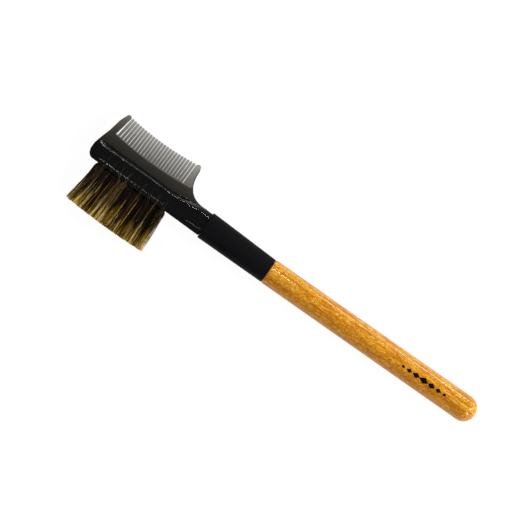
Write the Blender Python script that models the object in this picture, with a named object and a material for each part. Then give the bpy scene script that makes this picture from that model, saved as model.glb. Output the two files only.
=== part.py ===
"""A brow and lash tool: a fine comb and a bristle brush on one plastic head, with a wooden handle.

The head's tang and the handle's tenon are glued into the two ends of a metal ferrule, and each
tuft is folded around a flat staple at the bottom of its hole. Nothing moves.

The tool lies flat: +X is towards the handle's end, +Y towards the comb's teeth and +Z up. Sizes are
in millimetres until they go into a mesh. The stick (handle, ferrule and glue) is built about its own
axis with x = 0 at the handle's shoulder. The head is built with x = 0 at the ferrule's mouth and -X
towards its tip, and leans a little towards the comb.
"""

import math

import bmesh
import bpy
from mathutils import Vector

MM = 0.001
CLEARANCE = 0.3  # left between pieces that touch each other

# Handle
HANDLE_LENGTH = 80.7
HANDLE_RADIUS = 4.4
DOME_LENGTH = 4.2
DOME_STEPS = 7
SHOULDER_ROUNDING = 0.5
TENON_LENGTH = 10.5
TENON_RADIUS = 3.5
TENON_CHAMFER = 0.6
HANDLE_SIDES = 40

# Ferrule: round at the handle end and a flattened oval at its mouth, which sits off the axis
FERRULE_LENGTH = 25.0
FERRULE_WALL = 0.4
FERRULE_RADIUS = 4.25
FERRULE_EASING = 0.15
MOUTH_HALF_WIDTH = 4.72
MOUTH_HALF_THICKNESS = 3.75
MOUTH_SHIFT = 0.5
MOUTH_SQUARENESS = 2.5
ROUND_SQUARENESS = 2.0
FERRULE_SIDES = 40

# Head: the spine and neck are one bar with flat faces and sloped edges
HEAD_LEAN = math.radians(1.15)
HEAD_LENGTH = 44.3
BAR_HALF_THICKNESS = 3.05
BRISTLE_FACE = -4.1
BRISTLE_FACE_HALF = 2.45
NECK_EDGE = 4.2
NECK_EDGE_HALF = 1.8
WEB_EDGE = 2.65
WEB_EDGE_HALF = 1.3
TIP_EDGE_HALF = 1.9
CORNER_STEPS = 5
EDGE_BULGE = 0.12
TANG_LENGTH = 11.0
TANG_HALF_WIDTH = 3.75
TANG_HALF_THICKNESS = 2.7
TANG_OVERLAP = 3.0
TANG_SIDES = 24

# Comb: one plate that thins from the spine to the tips of the teeth. The slots end higher half way
# through the plate, where the mould parts, and shallow pockets make the teeth thinner than the web
TOOTH_COUNT = 23
TOOTH_PITCH = 1.095
TOOTH_WIDTH = 0.95
SLOT_END_RISE = 0.35
FIRST_TOOTH = 38.6
TOOTH_TIP_STEPS = 4
TIP_LINE = 13.2
TIP_LINE_BOW = 0.0050
TIP_LINE_MIDDLE = 27.2
ROOT_LINE = 5.66
ROOT_LINE_BOW = 0.0042
ROOT_LINE_MIDDLE = 26.7
TOOTH_SPREAD = 0.8
PLATE_FOOT = 1.0
PLATE_FOOT_HALF = 1.35
PLATE_TIP = 14.5
PLATE_TIP_HALF = 0.5
GUARD_TIP_STEPS = 6
NEAR_GUARD_EDGE = 13.85
FILLET_CENTRE = (3.2, 14.0)
FILLET_HALF = (8.4, 9.85)
FILLET_SQUARENESS = 2.6
FILLET_STEPS = 12
POCKET_FOOT_HALF = 0.84
POCKET_TIP_HALF = 0.3
POCKET_FAR_FOOT = 40.2
POCKET_FAR_TIP = 39.2
POCKET_NEAR = 10.9
POCKET_RIM = 0.45
POCKET_STEPS = 10
POCKET_RIM_STEPS = 5
POCKET_RIM_ANGLE = math.radians(38)

# Tufts: two staggered rows, the front one towards +Z
TUFTS_PER_ROW = 9
TUFT_PITCH = 2.92
FRONT_FIRST = 14.1
ROW_HEIGHT = 1.2
HOLE_RADIUS = 1.0
HOLE_DEPTH = 4.0
HOLE_SIDES = 16
TUFT_ROOT_RADIUS = 0.8
TUFT_SIDES = 12
TUFT_RINGS = 5
TUFT_LENGTH = 15.4
TUFT_TIP_BOW = 0.0024
TUFT_MIDDLE = 26.5
TUFT_TIP_MIDDLE = 26.8
TUFT_FLARE = 1.104
TUFT_TIP_HALF_WIDTH = 1.46
TUFT_TIP_HALF_DEPTH = 1.65
TUFT_TIP_HEIGHT = 2.05
FLARE_POWER = 1.6

# Staples, set diagonally across the holes
STAPLE_WIDTH = 2.1
STAPLE_THICKNESS = 0.3
STAPLE_HEIGHT = 1.4
STAPLE_ABOVE_BOTTOM = 1.1
STAPLE_TURN = math.radians(45)
STAPLE_BEVEL = 0.04


def material(name, colour, roughness, metallic=0.0):
    """A Principled material with one colour."""
    made = bpy.data.materials.new(name)
    made.use_nodes = True
    shader = made.node_tree.nodes["Principled BSDF"]
    shader.inputs["Base Color"].default_value = (*colour, 1.0)
    shader.inputs["Roughness"].default_value = roughness
    shader.inputs["Metallic"].default_value = metallic
    return made


def empty(name, parent=None):
    """An empty that other objects are placed by."""
    made = bpy.data.objects.new(name, None)
    made.parent = parent
    bpy.context.scene.collection.objects.link(made)
    return made


def solid(name, verts, faces, finish, parent):
    """An object from points in millimetres, with its faces turned outwards."""
    mesh = bpy.data.meshes.new(name)
    mesh.from_pydata([Vector(v) * MM for v in verts], [], faces)
    work = bmesh.new()
    work.from_mesh(mesh)
    bmesh.ops.recalc_face_normals(work, faces=work.faces)
    work.to_mesh(mesh)
    work.free()
    mesh.shade_smooth()
    mesh.set_sharp_from_angle(angle=math.radians(30))
    if finish:
        mesh.materials.append(finish)
    made = bpy.data.objects.new(name, mesh)
    made.parent = parent
    bpy.context.scene.collection.objects.link(made)
    return made


def cutter(name, verts, faces, parent):
    """A solid that only shapes another one."""
    made = solid(name, verts, faces, None, parent)
    made.hide_render = True
    made.display_type = "WIRE"
    return made


def combine(target, other, operation):
    """Adds another solid to the target, or takes it away."""
    change = target.modifiers.new(other.name, "BOOLEAN")
    change.operation = operation
    change.solver = "EXACT"
    change.object = other


def loft(rings, tube=False):
    """Points and faces of a skin through rings of equal length, capped or, as a tube, joined end to end."""
    sides = len(rings[0])
    verts = [point for ring in rings for point in ring]
    faces = []
    steps = len(rings) if tube else len(rings) - 1
    for step in range(steps):
        here = step * sides
        there = (step + 1) % len(rings) * sides
        for i in range(sides):
            j = (i + 1) % sides
            faces.append((here + i, here + j, there + j, there + i))
    if not tube:
        faces.append(tuple(range(sides)))
        faces.append(tuple(range(len(verts) - sides, len(verts))))
    return verts, faces


def joined(parts):
    """Several lists of points and faces as one."""
    verts = []
    faces = []
    for part_verts, part_faces in parts:
        start = len(verts)
        verts += part_verts
        faces += [tuple(start + i for i in face) for face in part_faces]
    return verts, faces


def blend(start, end, share):
    return start + (end - start) * share


def oval(sides, half_width, half_height, squareness=2.0):
    """Points around a superellipse: squareness 2 is an ellipse, and more is closer to a rectangle."""
    points = []
    for i in range(sides):
        angle = 2 * math.pi * i / sides
        across = math.cos(angle)
        up = math.sin(angle)
        y = math.copysign(abs(across) ** (2 / squareness), across) * half_width
        z = math.copysign(abs(up) ** (2 / squareness), up) * half_height
        points.append((y, z))
    return points


def ring_along_x(x, points, shift=0.0):
    return [(x, y + shift, z) for y, z in points]


def handle(finish, stick):
    """The turned stick: tenon, rounded shoulder, straight grip and domed end."""
    profile = [
        (-TENON_LENGTH, TENON_RADIUS - TENON_CHAMFER),
        (-TENON_LENGTH + TENON_CHAMFER, TENON_RADIUS),
        (0.0, TENON_RADIUS),
        (0.0, HANDLE_RADIUS - SHOULDER_ROUNDING),
        (SHOULDER_ROUNDING * 0.3, HANDLE_RADIUS - SHOULDER_ROUNDING * 0.3),
        (SHOULDER_ROUNDING, HANDLE_RADIUS),
    ]
    for step in range(DOME_STEPS):
        angle = math.pi / 2 * step / DOME_STEPS
        x = HANDLE_LENGTH - DOME_LENGTH + DOME_LENGTH * math.sin(angle)
        profile.append((x, HANDLE_RADIUS * math.cos(angle)))
    profile.append((HANDLE_LENGTH, HANDLE_RADIUS * 0.06))
    rings = [ring_along_x(x, oval(HANDLE_SIDES, radius, radius)) for x, radius in profile]
    solid("handle", *loft(rings), finish, stick)


def ferrule_ring(x, inset):
    """The ferrule's section at x, drawn in from its outer surface."""
    share = -x / FERRULE_LENGTH
    points = oval(
        FERRULE_SIDES,
        blend(FERRULE_RADIUS, MOUTH_HALF_WIDTH, share) - inset,
        blend(FERRULE_RADIUS, MOUTH_HALF_THICKNESS, share) - inset,
        blend(ROUND_SQUARENESS, MOUTH_SQUARENESS, share),
    )
    return ring_along_x(x, points, MOUTH_SHIFT * share)


def ferrule(finish, stick):
    """The metal sleeve, open at both ends."""
    near = -CLEARANCE
    far = -FERRULE_LENGTH
    rings = [
        ferrule_ring(near, FERRULE_EASING),
        ferrule_ring(near - FERRULE_EASING, 0.0),
        ferrule_ring(far + FERRULE_EASING, 0.0),
        ferrule_ring(far, FERRULE_EASING),
        ferrule_ring(far, FERRULE_WALL),
        ferrule_ring(near, FERRULE_WALL),
    ]
    solid("ferrule", *loft(rings, tube=True), finish, stick)


def ferrule_adhesive(finish, stick):
    """The plug of glue between the end of the tenon and the end of the tang."""
    inset = FERRULE_WALL + CLEARANCE
    near = -TENON_LENGTH - CLEARANCE
    far = -FERRULE_LENGTH + TANG_LENGTH + CLEARANCE
    rings = [ferrule_ring(near, inset), ferrule_ring(far, inset)]
    solid("ferrule_adhesive", *loft(rings), finish, stick)


def corner(centre_u, centre_v, half_u, half_v):
    """A quarter of an ellipse, from the bristle side round to the head's end."""
    points = []
    for step in range(CORNER_STEPS + 1):
        angle = math.pi / 2 * step / CORNER_STEPS
        points.append((centre_u + half_u * math.sin(angle), centre_v - half_v * math.cos(angle)))
    return points


def bar_outlines():
    """The bar's outer edge and the edge of its flat faces, point for point, and the outer edge's half height."""
    edge = [(CLEARANCE, BRISTLE_FACE), (10.0, BRISTLE_FACE)]
    flat = [(CLEARANCE, -2.2), (10.0, -2.85)]
    height = [BRISTLE_FACE_HALF, BRISTLE_FACE_HALF]
    edge += corner(41.9, -1.0, HEAD_LENGTH - 41.9, -1.0 - BRISTLE_FACE)
    flat += corner(40.3, -1.0, 1.0, 1.9)
    for step in range(CORNER_STEPS + 1):
        height.append(blend(BRISTLE_FACE_HALF, TIP_EDGE_HALF, step / CORNER_STEPS))
    edge += [(HEAD_LENGTH, 0.55), (43.85, WEB_EDGE), (40.5, WEB_EDGE), (14.0, WEB_EDGE)]
    flat += [(41.3, 0.5), (41.0, 1.2), (40.5, 1.25), (14.0, 1.7)]
    height += [TIP_EDGE_HALF, WEB_EDGE_HALF, WEB_EDGE_HALF, WEB_EDGE_HALF]
    edge += [(8.0, 3.5), (4.0, NECK_EDGE), (CLEARANCE, NECK_EDGE)]
    flat += [(8.0, 2.3), (4.0, 2.7), (CLEARANCE, 2.65)]
    height += [1.5, NECK_EDGE_HALF, NECK_EDGE_HALF]
    return edge, flat, height


def bar():
    """The spine and neck: flat faces, a slope in two steps and an upright edge."""
    edge, flat, height = bar_outlines()
    outer = []
    middle = []
    inner = []
    for (edge_u, edge_v), (flat_u, flat_v), half in zip(edge, flat, height):
        outer.append((-edge_u, edge_v, half))
        middle.append(
            (
                -blend(edge_u, flat_u, 0.5 - EDGE_BULGE),
                blend(edge_v, flat_v, 0.5 - EDGE_BULGE),
                blend(half, BAR_HALF_THICKNESS, 0.5 + EDGE_BULGE),
            )
        )
        inner.append((-flat_u, flat_v, BAR_HALF_THICKNESS))
    upper = [inner, middle, outer]
    lower = [[(x, y, -z) for x, y, z in ring] for ring in reversed(upper)]
    return loft(upper + lower)


def tang():
    """The part of the head that is glued into the ferrule, with a narrower end."""
    stations = [
        (-TANG_OVERLAP, 1.0),
        (TANG_LENGTH - 2.0, 1.0),
        (TANG_LENGTH, 0.85),
    ]
    rings = []
    for x, share in stations:
        points = oval(
            TANG_SIDES, TANG_HALF_WIDTH * share, TANG_HALF_THICKNESS * share, MOUTH_SQUARENESS
        )
        rings.append(ring_along_x(x, points))
    return loft(rings)


def tip_line(u):
    return TIP_LINE + TIP_LINE_BOW * (u - TIP_LINE_MIDDLE) ** 2


def root_line(u):
    return ROOT_LINE + ROOT_LINE_BOW * (u - ROOT_LINE_MIDDLE) ** 2


def round_tip(centre_u, centre_v, radius, steps):
    """A half circle over a tooth's end, from its far side to its near side."""
    points = []
    for step in range(steps + 1):
        angle = math.pi * step / steps
        points.append((centre_u + radius * math.cos(angle), centre_v + radius * math.sin(angle)))
    return points


def tooth(number, rise):
    """One tooth's outline, root to root. The outermost ones lean a little, so they spread at the root."""
    u = FIRST_TOOTH - number * TOOTH_PITCH
    half = TOOTH_WIDTH / 2
    outward = max(0.0, (u - TIP_LINE_MIDDLE) / (FIRST_TOOTH - TIP_LINE_MIDDLE))
    root = u + TOOTH_SPREAD * outward**2
    far = (root + half, root_line(root + half) + rise)
    near = (root - half, root_line(root - half) + rise)
    return [far, *round_tip(u, tip_line(u) - half, half, TOOTH_TIP_STEPS), near]


def fillet_point(angle, offset):
    """A point of the sweep from the near guard's outer side to the neck, moved in by an offset."""
    centre_u, centre_v = FILLET_CENTRE
    half_u, half_v = FILLET_HALF
    u = centre_u + (half_u + offset) * math.cos(angle) ** (2 / FILLET_SQUARENESS)
    v = centre_v - (half_v - offset) * math.sin(angle) ** (2 / FILLET_SQUARENESS)
    return u, v


def neck_fillet():
    """The whole sweep, as a quarter of a superellipse."""
    return [fillet_point(math.pi / 2 * step / FILLET_STEPS, 0.0) for step in range(1, FILLET_STEPS + 1)]


def comb_outline(rise):
    """The plate's outline, with the ends of the slots between the teeth raised."""
    outline = [(43.5, PLATE_FOOT), (43.82, 2.8), (42.7, 6.7), (42.0, 10.8), (41.5, 12.3)]
    outline += round_tip(40.17, 13.35, 0.85, GUARD_TIP_STEPS)
    outline += [(40.45, root_line(40.45) + rise)]
    for number in range(TOOTH_COUNT):
        outline += tooth(number, rise)
    outline += [(NEAR_GUARD_EDGE, root_line(NEAR_GUARD_EDGE) + rise), (NEAR_GUARD_EDGE, 13.7)]
    outline += [(13.4, 14.25), (12.85, 14.5), (12.2, 14.3)]
    outline += neck_fillet()
    outline += [(3.0, PLATE_FOOT)]
    return outline


def taper(v, foot_half, tip_half):
    """Half the thickness at v of something that thins from the plate's foot to its tip."""
    return blend(foot_half, tip_half, (v - PLATE_FOOT) / (PLATE_TIP - PLATE_FOOT))


def pocket_outline():
    """The pockets' outline: along the teeth's roots, then up inside the near guard's rim."""
    outline = []
    for step in range(POCKET_STEPS + 1):
        u = blend(POCKET_FAR_FOOT, POCKET_NEAR, step / POCKET_STEPS)
        outline.append((u, root_line(u)))
    for step in range(POCKET_RIM_STEPS, 0, -1):
        outline.append(fillet_point(POCKET_RIM_ANGLE * step / POCKET_RIM_STEPS, POCKET_RIM))
    outline += [(12.2, PLATE_TIP + 1.0), (POCKET_FAR_TIP, PLATE_TIP + 1.0)]
    return outline


def pockets():
    """What is cut away above and below the teeth and the near guard, down to a sloping floor."""
    parts = []
    for side in (1, -1):
        ground = [(-u, v, side * taper(v, POCKET_FOOT_HALF, POCKET_TIP_HALF)) for u, v in pocket_outline()]
        mouth = [(x, y, side * 2.0) for x, y, _ in ground]
        parts.append(loft([ground, mouth]))
    return joined(parts)


def comb():
    """The plate with the teeth and the two broad guard teeth. Its foot is inside the bar."""
    upper = [(-u, v, taper(v, PLATE_FOOT_HALF, PLATE_TIP_HALF)) for u, v in comb_outline(0.0)]
    parting = [(-u, v, 0.0) for u, v in comb_outline(SLOT_END_RISE)]
    lower = [(x, y, -z) for x, y, z in upper]
    return loft([upper, parting, lower])


def tuft_places():
    """Each tuft's name, its distance along the spine and its row's side: +1 in front, -1 behind."""
    places = []
    for number in range(TUFTS_PER_ROW):
        u = FRONT_FIRST + number * TUFT_PITCH
        places.append((f"front_{number + 1}", u, 1))
        places.append((f"back_{number + 1}", u + TUFT_PITCH / 2, -1))
    return places


def hole_cylinders():
    """One cylinder for each hole, from outside the bristle face to the hole's bottom."""
    parts = []
    for _, u, side in tuft_places():
        ring = oval(HOLE_SIDES, HOLE_RADIUS, HOLE_RADIUS)
        ends = [BRISTLE_FACE - 1.0, BRISTLE_FACE + HOLE_DEPTH]
        parts.append(loft([[(x - u, y, z + side * ROW_HEIGHT) for x, z in ring] for y in ends]))
    return joined(parts)


def staple_box(u, side, width, thickness, low, high):
    """A box across a hole, turned as the staples are. Low and high are from the hole's bottom."""
    bottom = BRISTLE_FACE + HOLE_DEPTH
    rings = []
    for y in (bottom - low, bottom - high):
        ring = []
        for along, across in ((1, 1), (-1, 1), (-1, -1), (1, -1)):
            a = along * width / 2
            b = across * thickness / 2
            x = a * math.cos(STAPLE_TURN) - b * math.sin(STAPLE_TURN)
            z = a * math.sin(STAPLE_TURN) + b * math.cos(STAPLE_TURN)
            ring.append((x - u, y, z + side * ROW_HEIGHT))
        rings.append(ring)
    return loft(rings)


def staple_slot(u, side, width):
    """The room around a staple."""
    return staple_box(
        u,
        side,
        width,
        STAPLE_THICKNESS + 2 * CLEARANCE,
        STAPLE_ABOVE_BOTTOM - CLEARANCE,
        STAPLE_ABOVE_BOTTOM + STAPLE_HEIGHT + CLEARANCE,
    )


def head_frame(finish, head):
    """The moulded head: bar, tang and comb in one, with drilled holes and the slots the staples cut."""
    frame = solid("head_frame", *bar(), finish, head)
    combine(frame, cutter("tang_form", *tang(), head), "UNION")
    combine(frame, cutter("comb_form", *comb(), head), "UNION")
    combine(frame, cutter("pocket_form", *pockets(), head), "DIFFERENCE")
    combine(frame, cutter("hole_form", *hole_cylinders(), head), "DIFFERENCE")
    slots = [staple_slot(u, side, STAPLE_WIDTH + 2 * CLEARANCE) for _, u, side in tuft_places()]
    combine(frame, cutter("slot_form", *joined(slots), head), "DIFFERENCE")


def tuft_rings(u, side):
    """The bundle from its fold, straight through the hole and flaring to its trimmed end."""
    fold = BRISTLE_FACE + HOLE_DEPTH - CLEARANCE
    ring = oval(TUFT_SIDES, TUFT_ROOT_RADIUS, TUFT_ROOT_RADIUS)
    rings = [[(x - u, fold, z + side * ROW_HEIGHT) for x, z in ring]]
    tip_u = TUFT_TIP_MIDDLE + (u - TUFT_MIDDLE) * TUFT_FLARE
    length = TUFT_LENGTH - TUFT_TIP_BOW * (tip_u - TUFT_TIP_MIDDLE) ** 2
    for step in range(TUFT_RINGS):
        share = step / (TUFT_RINGS - 1)
        flare = share**FLARE_POWER
        ring = oval(
            TUFT_SIDES,
            blend(TUFT_ROOT_RADIUS, TUFT_TIP_HALF_WIDTH, flare),
            blend(TUFT_ROOT_RADIUS, TUFT_TIP_HALF_DEPTH, flare),
        )
        y = BRISTLE_FACE - length * share
        height = side * blend(ROW_HEIGHT, TUFT_TIP_HEIGHT, flare)
        rings.append([(x - blend(u, tip_u, flare), y, z + height) for x, z in ring])
    return rings


def tufts(finish, head):
    """Every tuft, with the window that its staple passes through."""
    for name, u, side in tuft_places():
        tuft = solid("tuft_" + name, *loft(tuft_rings(u, side)), finish, head)
        window = staple_slot(u, side, 4 * TUFT_ROOT_RADIUS)
        combine(tuft, cutter("window_form_" + name, *window, head), "DIFFERENCE")


def anchors(finish, head):
    """Every flat staple."""
    top = STAPLE_ABOVE_BOTTOM + STAPLE_HEIGHT
    for name, u, side in tuft_places():
        shape = staple_box(u, side, STAPLE_WIDTH, STAPLE_THICKNESS, STAPLE_ABOVE_BOTTOM, top)
        anchor = solid("anchor_" + name, *shape, finish, head)
        bevel = anchor.modifiers.new("eased_edges", "BEVEL")
        bevel.width = STAPLE_BEVEL * MM
        bevel.segments = 1


def stand_on_origin(tool):
    """Moves the whole tool so that the middle of the bottom of its bounding box is at the origin."""
    bpy.context.view_layer.update()
    graph = bpy.context.evaluated_depsgraph_get()
    corners = []
    for piece in bpy.data.objects:
        if piece.type == "MESH" and not piece.hide_render:
            shaped = piece.evaluated_get(graph)
            corners += [shaped.matrix_world @ v.co for v in shaped.data.vertices]
    low = [min(point[axis] for point in corners) for axis in range(3)]
    high = [max(point[axis] for point in corners) for axis in range(3)]
    tool.location = (-(low[0] + high[0]) / 2, -(low[1] + high[1]) / 2, -low[2])


def main():
    for old in list(bpy.data.objects):
        bpy.data.objects.remove(old)
    wood = material("varnished_wood", (0.72, 0.34, 0.07), 0.2)
    black_metal = material("black_metal", (0.012, 0.012, 0.014), 0.55, 0.4)
    smoky_plastic = material("smoky_plastic", (0.06, 0.055, 0.055), 0.15)
    bristle = material("bristle", (0.06, 0.04, 0.02), 0.55)
    steel = material("steel", (0.6, 0.6, 0.62), 0.3, 1.0)
    glue = material("glue", (0.75, 0.65, 0.4), 0.4)
    tool = empty("tool")
    stick = empty("stick", tool)
    head = empty("head", tool)
    head.location = (-FERRULE_LENGTH * MM, MOUTH_SHIFT * MM, 0.0)
    head.rotation_euler = (0.0, 0.0, -HEAD_LEAN)
    handle(wood, stick)
    ferrule(black_metal, stick)
    ferrule_adhesive(glue, stick)
    head_frame(smoky_plastic, head)
    tufts(bristle, head)
    anchors(steel, head)
    stand_on_origin(tool)


main()
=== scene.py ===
import math

import bmesh
import bpy
import numpy as np
from mathutils import Matrix, Vector

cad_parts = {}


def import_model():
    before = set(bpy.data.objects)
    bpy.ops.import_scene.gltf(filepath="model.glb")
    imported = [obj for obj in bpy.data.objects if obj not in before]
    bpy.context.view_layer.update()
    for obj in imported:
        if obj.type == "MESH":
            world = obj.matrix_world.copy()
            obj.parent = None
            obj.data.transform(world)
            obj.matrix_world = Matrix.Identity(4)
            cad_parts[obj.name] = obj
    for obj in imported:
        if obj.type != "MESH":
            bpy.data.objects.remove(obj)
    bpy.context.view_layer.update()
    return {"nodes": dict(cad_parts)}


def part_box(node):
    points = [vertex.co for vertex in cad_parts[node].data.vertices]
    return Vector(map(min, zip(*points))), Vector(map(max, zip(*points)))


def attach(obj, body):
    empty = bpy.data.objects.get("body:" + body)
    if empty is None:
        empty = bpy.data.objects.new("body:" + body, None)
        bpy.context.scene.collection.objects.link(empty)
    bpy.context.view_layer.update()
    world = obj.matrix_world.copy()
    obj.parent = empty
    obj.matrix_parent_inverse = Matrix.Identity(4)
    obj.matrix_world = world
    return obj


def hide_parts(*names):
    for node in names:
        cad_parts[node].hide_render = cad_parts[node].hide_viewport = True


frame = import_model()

MM = 0.001

# Sizes are in millimetres down to the stage

# Handle. x runs from its shoulder to its domed end
HANDLE_LENGTH = 80.7
HANDLE_RADIUS = 4.4
HANDLE_SIDES = 128
DOME_LENGTH = 4.2
DOME_STEPS = 24
DOME_END_SHARE = 0.02
SHOULDER_ROUNDING = 0.5
SHOULDER_STEPS = 6
SUPPORT_GAP = 0.1
TENON_LENGTH = 10.5
TENON_RADIUS = 3.5
TENON_TAPER_LENGTH = 0.7
TENON_END_SHARE = 0.8

# The printed row of lozenges: the middle one, and how the others shrink and close up
MARK_CENTRE = (60.5, -0.2)
MARK_HALF_LENGTH = 1.8
MARK_SHRINK = 0.33
MARK_PITCH = 3.1
MARK_CLOSING = 0.15
MARK_FLATNESS = 0.62
MARKS_PER_SIDE = 3

# Ferrule. It runs from the handle's shoulder to its oval mouth
FERRULE_LENGTH = 25.0
FERRULE_WALL = 0.4
FERRULE_RADIUS = 4.25
FERRULE_STEPS = 8
FERRULE_EASING = 0.18
EASING_STEPS = 4
EASING_SUPPORT = 0.05
MOUTH_HALF_WIDTH = 4.72
MOUTH_HALF_THICKNESS = 3.75
MOUTH_SHIFT = 0.5
MOUTH_SQUARENESS = 2.5
FERRULE_SIDES = 128
JOINT_GAP = 0.05

# Head. u runs from the ferrule's mouth to the head's end, and v from the bristles to the comb
HEAD_LEAN = math.radians(1.15)
HEAD_LENGTH = 44.3
BAR_HALF_THICKNESS = 3.05
BRISTLE_FACE = -4.1
BRISTLE_FACE_HALF = 2.45
NECK_EDGE = 4.2
NECK_EDGE_HALF = 1.8
NECK_MIDDLE_HALF = 1.5
WEB_EDGE = 2.65
WEB_EDGE_HALF = 1.3
TIP_EDGE_HALF = 1.9
END_CORNER = (41.9, -1.0)
FLAT_CORNER = (40.3, -1.0)
FLAT_CORNER_HALF = (1.0, 1.9)
CORNER_STEPS = 10
EDGE_BULGE = 0.15
NECK_LINE_END = 14.5
NECK_ROUNDING = 0.32
SPINE_ROUNDING = 0.1
BRISTLE_SIDE_ROUNDING = 0.35
EDGE_ROUNDING = 0.18
ROUNDING_STEPS = 5
TANG_LENGTH = 11.0
TANG_HALF_WIDTH = 3.75
TANG_HALF_THICKNESS = 2.7
TANG_OVERLAP = 3.0
TANG_TAPER_LENGTH = 2.0
TANG_END_SHARE = 0.85
TANG_SIDES = 48

# Comb
TOOTH_COUNT = 23
TOOTH_PITCH = 1.095
TOOTH_WIDTH = 0.95
ROOT_WIDENING = 0.03
SLOT_END_RISE = 0.35
FIRST_TOOTH = 38.6
TOOTH_TIP_STEPS = 8
TIP_LINE = 13.2
TIP_LINE_BOW = 0.0050
TIP_LINE_MIDDLE = 27.2
ROOT_LINE = 5.66
ROOT_LINE_BOW = 0.0042
ROOT_LINE_MIDDLE = 26.7
TOOTH_SPREAD = 0.8
PLATE_FOOT = 1.0
PLATE_FOOT_HALF = 1.35
PLATE_TIP = 14.5
PLATE_TIP_HALF = 0.5
RIM_ROUNDING = 0.09
RIM_SEGMENTS = 3
RIM_ANGLE = math.radians(48)
POCKET_FOOT_HALF = 0.84
POCKET_TIP_HALF = 0.3
POCKET_FAR_FOOT = 40.2
POCKET_FAR_TIP = 39.2
POCKET_NEAR_FOOT = 10.9
POCKET_NEAR_TIP = 12.2
POCKET_OVERSHOOT = 1.0
POCKET_MOUTH = 2.0
POCKET_RIM = 0.45
POCKET_STEPS = 20
POCKET_RIM_STEPS = 10
POCKET_RIM_ANGLE = math.radians(38)
FAR_GUARD_SIDE = [(43.5, PLATE_FOOT), (43.82, 2.8), (42.7, 6.7), (42.0, 10.8), (41.5, 12.3)]
FAR_GUARD_TIP = (40.17, 13.35)
FAR_GUARD_TIP_RADIUS = 0.85
FAR_GUARD_TIP_STEPS = 12
FAR_GUARD_EDGE = 40.45
NEAR_GUARD_EDGE = 13.85
NEAR_GUARD_TIP = [(NEAR_GUARD_EDGE, 13.7), (13.4, 14.25), (12.85, 14.5), (12.2, 14.3)]
PLATE_NEAR_FOOT = (3.0, PLATE_FOOT)
FILLET_CENTRE = (3.2, 14.0)
FILLET_HALF = (8.4, 9.85)
FILLET_SQUARENESS = 2.6
FILLET_STEPS = 24

# Tufts
TUFTS_PER_ROW = 9
TUFT_PITCH = 2.92
FRONT_FIRST = 14.1
ROW_HEIGHT = 1.2
HOLE_RADIUS = 1.0
HOLE_DEPTH = 4.0
HOLE_SIDES = 24
HOLE_OVERSHOOT = 1.0
CLEARANCE = 0.3
STAPLE_WIDTH = 2.1
STAPLE_THICKNESS = 0.3
STAPLE_HEIGHT = 1.4
STAPLE_ABOVE_BOTTOM = 1.1
STAPLE_TURN = math.radians(45)
TUFT_LENGTH = 15.4
TUFT_TIP_BOW = 0.0024
TUFT_MIDDLE = 26.5
TUFT_TIP_MIDDLE = 26.8
TUFT_FLARE = 1.104
TUFT_TIP_HEIGHT = 2.05
FLARE_POWER = 1.6
GATHER_POWER = 1.5

# A tuft opens out over this first share of its length. Its half width and half depth
# at the hole's mouth, once opened out, and what its tip adds to them
BLOOM_SHARE = 0.09
MOUTH_SPREAD = 0.87
BLOOM_SPREAD = (1.5, 1.2)
TIP_SPREAD = (0.2, 0.45)

# Hairs. Places inside the hole: where along v, and how far out the outermost hair stands.
# Places outside the hole: shares of the way from its mouth to the hair's tip
FOLD = BRISTLE_FACE + HOLE_DEPTH - 0.5
PLACES_INSIDE = [
    (FOLD, 0.45),
    (FOLD - 0.6, 0.74),
    (BRISTLE_FACE + 0.6, 0.82),
    (BRISTLE_FACE, MOUTH_SPREAD),
]
PLACES_OUTSIDE = [0.03, 0.08, 0.16, 0.27, 0.4, 0.54, 0.68, 0.82, 0.92, 1.0]
HAIR_PLACES = len(PLACES_INSIDE) + len(PLACES_OUTSIDE)
HAIRS_PER_TUFT = 150
HAIR_SIDES = 5
HAIR_RADIUS = (0.05, 0.09)
HAIR_TAPER = 0.45
CLUMPS_PER_TUFT = 14
CLUMP_RING = (0.05, 0.9)
CLUMP_PULL = (0.1, 0.75)
TIP_SCATTER = 0.07
LENGTH_SCATTER = 0.14
BOW_SCATTER = 0.2
WAVE_SCATTER = 0.05
WAVE_ANGLE = 9.0

# Hair tones. Where the gold starts is a share of the way from the hole to the hair's tip
GOLD_START = (0.34, 0.78)
GOLD_START_BY_DISTANCE = 0.35
GOLD_START_SCATTER = 0.06
GOLD_CHANGE = 0.16
GOLD_INSIDE = 0.8
EARLY_GOLD_SHARE = 0.05
EARLY_GOLD_START = (0.0, 0.4)
CLUMP_SHADE = (0.0, 0.95)
SHADE_SCATTER = 0.24
HAIR_SEED = 20

# Stage, in metres and degrees. The camera frames a square this wide at the stick's height
CAMERA_X = -0.009994
CAMERA_Y = 0.002866
CAMERA_DISTANCE = 0.6
CAMERA_FRAME = 0.16687
CAMERA_TURN = 35.01
CAMERA_REACH = 20.0
SENSOR_WIDTH = 36.0
FLOOR_HALF_MM = 4000.0
FLOOR_GREY = 0.09
FLOOR_GLOW = 0.95

# The room's light: how high it is (0 at the horizon, 1 overhead) and how bright
ROOM_LOW = (0.1, 0.38)
ROOM_HIGH = (0.55, 0.08)

# Strip lamps, each mirrored as a line on the object: where the line starts and ends along x,
# the lamp's angle from straight up towards the comb, its height and its radiance
STRIP_DISTANCE = 1.0
STRIP_LAMPS = {
    "neck_line": (-0.078, -0.015, 25, 0.3, 8),
    "bristle_side_line": (-0.078, -0.058, -12, 0.3, 6),
    "bristle_side_fade": (-0.058, -0.046, -12, 0.3, 1.5),
    "neck_side_line": (-0.036, -0.028, -12, 0.3, 1.0),
    "varnish_start_line": (-0.008, 0.004, 38, 0.05, 40),
    "varnish_line": (0.01, 0.042, 79, 0.06, 12),
    "varnish_end_line": (0.042, 0.071, 79, 0.06, 26),
}

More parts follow.
